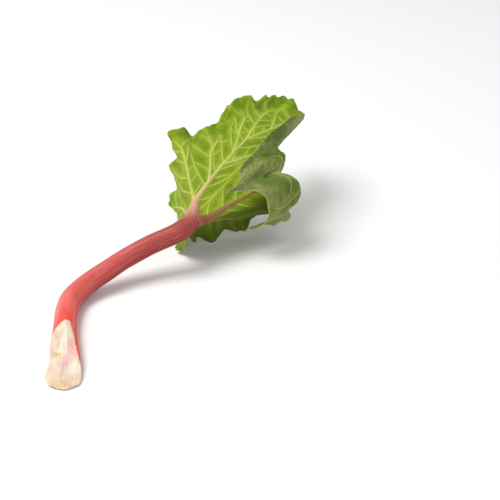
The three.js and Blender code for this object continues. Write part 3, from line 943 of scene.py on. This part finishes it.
# The roll's slanting part is crinkled in space, so that its crinkles aren't drawn out.
crinkle_height, small_crinkle = 1.1, 0.5
plain = blade(angle, distance, np.zeros(count))
crinkle = crinkle_height * rough(plain[:, 0], plain[:, 2], 11, 31)
crinkle += small_crinkle * rough(plain[:, 0], plain[:, 2], 4.5, 32)
extra += crinkle * rolled_part * (1 - calm)
least_height = 0.6  # the blade's lower face stays above the table
middle = blade(angle, distance, extra)
middle[:, 2] = np.maximum(middle[:, 2], least_height)
place_points(leaf.data, middle)
leaf.data.update()
normal = np.empty(count * 3, np.float32)
leaf.data.vertex_normals.foreach_get("vector", normal)
normal = normal.reshape(-1, 3).astype(float)

# The sheet is doubled into two faces, and it is found out which of them is the underside.
thicken = leaf.modifiers.new("thickness", "SOLIDIFY")
thicken.thickness = millimetre
thicken.offset = 0
bpy.ops.object.modifier_apply(modifier="thickness")
both = points_of(leaf.data) * metre
first_is_under = np.einsum("ij,ij->i", both[:count] - middle, normal).mean() > 0

# The upper side is sunken over the ribs and veins and puffed up between them. The edge is thinner.
half_thickness, edge_thinning = 0.5, 0.22
rib_dent, vein_dent, deepest_share, puff_height = 0.7, 0.35, 0.7, 0.40
thick = half_thickness - edge_thinning * bell(edge_gap / 6)
sunken = rib_dent * bell(rib_gap / 1.6) + vein_dent * bell(vein_gap / 1.2)
puffed = puff_height * small_cell * hollow * calm
over = middle - normal * (thick - np.minimum(sunken, thick * deepest_share) + puffed)[:, None]

# The flesh of the stalk's end spreads over the roots of the ribs: the underside rises to just below the
# stalk's own skin, and falls away beside it in a smooth fillet.
skin_gap, round_share, fillet, blend = 0.4, 0.8, 2.22, 2.0
flesh_reach, no_flesh = 60, -9.0
tail_start, tail_samples, side_samples = 12.5, 120, 90
stalk_tail = stalk_at(np.linspace(tail_start, last_station, tail_samples))
close = np.flatnonzero(distance < flesh_reach)
flesh = np.full(len(close), no_flesh)

# Root of the side rib on the flat leaf: along, across and radius.
side_root = np.array([[4, -2.5, 7], [12, -8, 5.4], [21, -14, 4.3], [32, -19.5, 3.5], [44, -25.5, 3]])
side_root = through(side_root, np.linspace(0, len(side_root) - 1, side_samples))
side_tail = blade(*polar(side_root[:, :2]), np.full(side_samples, half_thickness))
tails = np.r_[stalk_tail, np.c_[side_tail, side_root[:, 2], side_root[:, 2]]]
for *centre, half_wide, half_high in tails:
    gap = np.array(centre) - middle[close]
    rise = np.einsum("ij,ij->i", gap, normal[close])
    q = np.linalg.norm(gap - rise[:, None] * normal[close], axis=1) / half_wide
    beside = (1 - round_share**2) ** 0.5 * np.exp(-(q - round_share) * fillet)
    round_part = np.where(q < round_share, np.sqrt(np.clip(1 - q**2, 0, 1)), beside)
    faded = bell(np.clip(q - 0.5, 0, None) / 0.8)
    height = (rise * faded + half_high * round_part - skin_gap) * ramp(17, 9, rise)
    flesh = np.maximum(flesh, height)
flesh -= thick[close]
relief = (rib_height**4 + vein_height**4) ** 0.25 * ramp(3, 14, distance)
share = np.clip(0.5 + 0.5 * (flesh - relief[close]) / blend, 0, 1)
relief[close] += (flesh - relief[close]) * share + blend * share * (1 - share)
under = middle + normal * (thick + relief)[:, None]
fleshy = ramp(1.2, 3.2, flesh)
flesh_cover = np.zeros(count)
flesh_cover[close] = fleshy
rib_red[close] = np.maximum(rib_red[close], fleshy * pink(distance[close], flesh_reach))

layers = (under, over) if first_is_under else (over, under)
place_points(leaf.data, inside_box(np.concatenate(layers)))
under_shares = [1.0, 0.0] if first_is_under else [0.0, 1.0]
store(leaf.data, {"underside": np.repeat(under_shares, count)})
marks = {
    "flat": np.c_[flat, np.zeros(count)],
    "rib_side": rib_side,
    "rib_zone": ramp(2.0, 1.35, np.abs(rib_side)),
    "flesh": flesh_cover,
    **{f"vein_{k}": numbers for k, numbers in enumerate(vein_marks)},
    "net": net_gap,
    "hollow": hollow,
    "red": rib_red,
    "edge": edge_gap,
    "low_lobe": ramp(-34, -44, angle),
    "dusk": ramp(-8, -20, angle) * ramp(2, 16, distance),
    "reach": distance,
    "calm": calm,
}
store(leaf.data, {name: np.concatenate([values, values]) for name, values in marks.items()})
bpy.ops.object.shade_smooth()

leaf_skin, shader, wire = new_material("leaf_underside_and_upper_side")
leaf_place = wire.read("flat", "Vector")


def parts(name):
    """The three numbers of an attribute."""
    vector = {"Vector": wire.read(name, "Vector")}
    return [wire.node("ShaderNodeSeparateXYZ", None, vector, part) for part in range(3)]


rib, rib_across = wire.read("flesh").step(0.2, 0.8), 0
for off, zone in zip(parts("rib_side"), parts("rib_zone")):
    rib = wire.calc("MAXIMUM", rib, abs(off).step(1.20, 0.70) * zone)
    rib_across = off * zone + rib_across
hollow = wire.read("hollow")
edge, red_share = wire.read("edge"), wire.read("red")
clouds = leaf_place.noise(0.035, 4)
mottle = leaf_place.noise(0.16, 4)
grain = leaf_place.noise(1.4, 3)
vein_line = grain * 0
for k in range(len(vein_marks)):
    off, near, wide = parts(f"vein_{k}")
    line = (abs(off) - wide).step(0.45, -0.35) * near.step(1.45, 1.1)
    vein_line = wire.calc("MAXIMUM", vein_line, line)
lines_place = {"X": rib_across * 2.2, "Y": wire.read("reach") * 0.045}
rib_lines_noise = wire.node("ShaderNodeCombineXYZ", None, lines_place).noise(1.7, 4)
fine_cells = {"Vector": leaf_place, "Scale": 0.36}
fine_net = leaf_place.node("ShaderNodeTexVoronoi", {"feature": "DISTANCE_TO_EDGE"}, fine_cells)
fine_line = (1 - fine_net.step(0.01, 0.12)) * (1 - rib)
net_line = (1 - wire.read("net").step(0.1, 1.5)) * (1 - rib)

# The underside is yellowish green, darker in the hollows and paler along its veins.
deep_green, bright_green, edge_straw = (0.155, 0.250, 0.004), (0.250, 0.345, 0.008), (0.40, 0.40, 0.08)
green = clouds.step(0.35, 0.68).mix(deep_green, bright_green)
green = layered(green, [
    (hollow.step(0.25, 1.0) * mottle.step(0.30, 0.70) * 0.7, (0.080, 0.165, 0.003)),  # hollows
    ((1 - hollow.step(0.0, 0.7)) * 0.40, (0.32, 0.37, 0.035)),  # beside the veins
    (net_line * 0.22, (0.30, 0.38, 0.05)),  # net of small veins
    (fine_line * 0.14, (0.27, 0.36, 0.05)),  # finest veins
    (vein_line * 0.8, (0.43, 0.53, 0.100)),  # side veins
    (wire.read("low_lobe") * 0.7, (0.045, 0.072, 0.002)),  # painted shade darkening the low lobe
])

# The ribs go from light green through straw and pink to the stalk's dull red, with fine lines along
# them. On the right side of the blade, under its roll, painted shade darkens the ribs to brown and dull
# red.
rib_stops = [
    (0.0, (0.44, 0.51, 0.100)), (0.20, (0.56, 0.50, 0.17)), (0.32, (0.62, 0.46, 0.20)),
    (0.43, (0.58, 0.36, 0.20)), (0.53, (0.60, 0.300, 0.210)), (0.84, (0.51, 0.205, 0.160)),
    (0.93, (0.39, 0.110, 0.083)), (1.0, (0.33, 0.070, 0.052)),
]
straw_line, brown_line = (0.62, 0.52, 0.26), (0.30, 0.17, 0.06)
rib_shade_brown, rib_shade_red = (0.18, 0.088, 0.020), (0.22, 0.050, 0.034)
rib_colour = red_share.node("ShaderNodeValToRGB", {"stops": rib_stops}, {"Fac": red_share})
rib_colour = (rib_lines_noise.step(0.45, 0.70) * 0.25).mix(rib_colour, straw_line)
rib_colour = ((1 - rib_lines_noise).step(0.50, 0.75) * 0.22).mix(rib_colour, brown_line)
root_share = red_share.step(0.50, 0.72)
rib_shade_colour = root_share.mix(rib_shade_brown, rib_shade_red)
# painted shade on the ribs of the right side, brown further out and dull red at their roots
rib_colour = (wire.read("dusk") * (root_share * 0.10 + 0.76)).mix(rib_colour, rib_shade_colour)
green = rib.mix(green, rib_colour)
green = red_share.step(0.55, 0.85).mix(green, rib_colour)
green = (edge.step(1.6, 0.2) * 0.35).mix(green, edge_straw)

# The upper side is duller, with bronze patches and painted sheen on its puffed places, and its net of
# veins is darker than the sheet.
dull_green, olive = (0.100, 0.160, 0.022), (0.230, 0.270, 0.065)
room = wire.node("ShaderNodeTexCoord", output="Object")
top_clouds, top_mottle, calm_share = room.noise(38, 4), room.noise(170, 4), wire.read("calm")
top_green = layered(top_clouds.step(0.36, 0.64).mix(dull_green, olive), [
    (top_mottle.step(0.48, 0.64) * top_clouds.step(0.42, 0.55) * 0.8, (0.36, 0.25, 0.16)),  # bronze
    (hollow.step(0.3, 1.0) * calm_share * 0.30, (0.36, 0.38, 0.16)),  # painted sheen on the puffed places
    (net_line * calm_share * 0.45, (0.100, 0.145, 0.022)),  # net of small veins
    (fine_line * calm_share * 0.2, (0.120, 0.165, 0.03)),  # finest veins
    (vein_line * 0.6, (0.42, 0.45, 0.16)),  # side veins
    (rib * 0.8, (0.44, 0.42, 0.16)),  # ribs
    (edge.step(2.2, 0.3) * 0.5, (0.42, 0.42, 0.17)),  # edge
])

# Light shines through the thin blade a little.
side_share = wire.read("underside").step(0.15, 0.6)
side_share.mix(top_green, green).feed(shader, "Base Color")
(0.48 + mottle * 0.14 + side_share * 0.06).feed(shader, "Roughness")
lines_relief = fine_line * 0.6 + net_line * 0.5 + vein_line * (1 - rib) * 0.6
small_relief = grain * 0.3 + lines_relief * (side_share * 1.4 - 0.7)
small_relief.bumps(0.35, 0.0006).feed(shader, "Normal")
settle(shader, {
    "Subsurface Weight": 0.5, "Subsurface Radius": (0.6, 1.0, 0.12), "Subsurface Scale": 0.003,
    "Specular IOR Level": 0.09,
})
leaf.data.materials.append(leaf_skin)
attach(leaf, "root")
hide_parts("leaf")


# ---- Table, light and camera ----
# A plain white table top under a large soft lamp, with a weak fill from the front, as in a studio.
# The camera looks down on the stalk at 30 degrees, from the heel's end.
bpy.ops.mesh.primitive_plane_add(size=12, location=(0, 0, 0))
table = bpy.context.object
table.name = "table_top"
table_paint, shader, wire = new_material("white_table")
settle(shader, {"Base Color": (0.92, 0.92, 0.915, 1), "Roughness": 0.7})
table.data.materials.append(table_paint)

world = bpy.data.worlds.new("studio")
bpy.context.scene.world = world
world.use_nodes = True
settle(world.node_tree.nodes["Background"], {"Color": (1.0, 1.0, 1.0, 1), "Strength": 0.55})


def soft_lamp(name, place, target, size, power):
    bpy.ops.object.light_add(type="AREA", location=place)
    lamp = bpy.context.object
    lamp.name = name
    lamp.data.size = size
    lamp.data.energy = power
    lamp.rotation_euler = (Vector(target) - Vector(place)).to_track_quat("-Z", "Y").to_euler()


soft_lamp("key", (-1.15, 0.1, 2.45), (0.08, 0.2, 0.05), 1.6, 58)
soft_lamp("fill", (0.5, -2.6, 1.75), (0.1, 0.2, 0.05), 2.4, 16)

bpy.ops.object.camera_add(location=(0.184163, -0.944198, 0.700), rotation=(math.radians(60), 0, 0))
camera = bpy.context.object
camera.data.sensor_width = 36
camera.data.lens = 83.33
camera.data.clip_start = 0.05
camera.data.clip_end = 30
bpy.context.scene.camera = camera
bpy.context.scene.view_settings.view_transform = "Standard"
